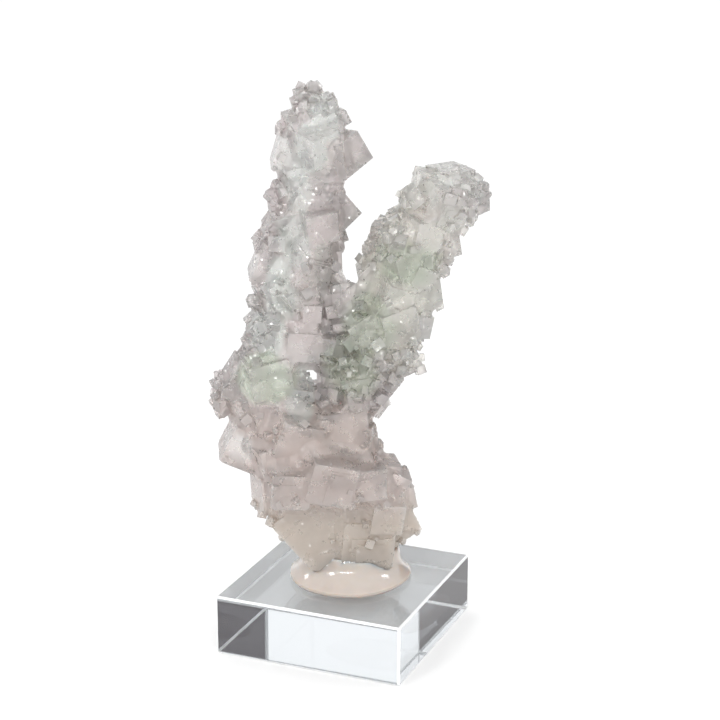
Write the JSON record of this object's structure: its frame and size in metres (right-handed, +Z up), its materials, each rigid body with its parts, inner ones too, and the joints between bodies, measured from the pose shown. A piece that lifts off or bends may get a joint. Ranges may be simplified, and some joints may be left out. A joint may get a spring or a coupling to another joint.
{
  "type": "apophyllite specimen",
  "caption": "A pale lilac and mint branching growth of nearly cubic crystals, set in cream putty on a clear square block.",
  "frame": {"origin": "centre of the clear block's underside, where the object rests", "axes": "+Z up along the height of the growth, -Y towards the block's front face, +X to the right"},
  "size_m": [0.0657, 0.0508, 0.1447],
  "materials": {
    "lilac_crystal": "translucent, faintly frosted",
    "green_crystal": "translucent, faintly frosted",
    "clear_block": "clear and polished",
    "cream_putty": "glossy"
  },
  "bodies": {
    "root": {"stand_block": "clear_block", "putty": "cream_putty", "crystal_trunk": "lilac_crystal", "left_branch": "lilac_crystal", "right_branch": "green_crystal"}
  },
  "joints": []
}
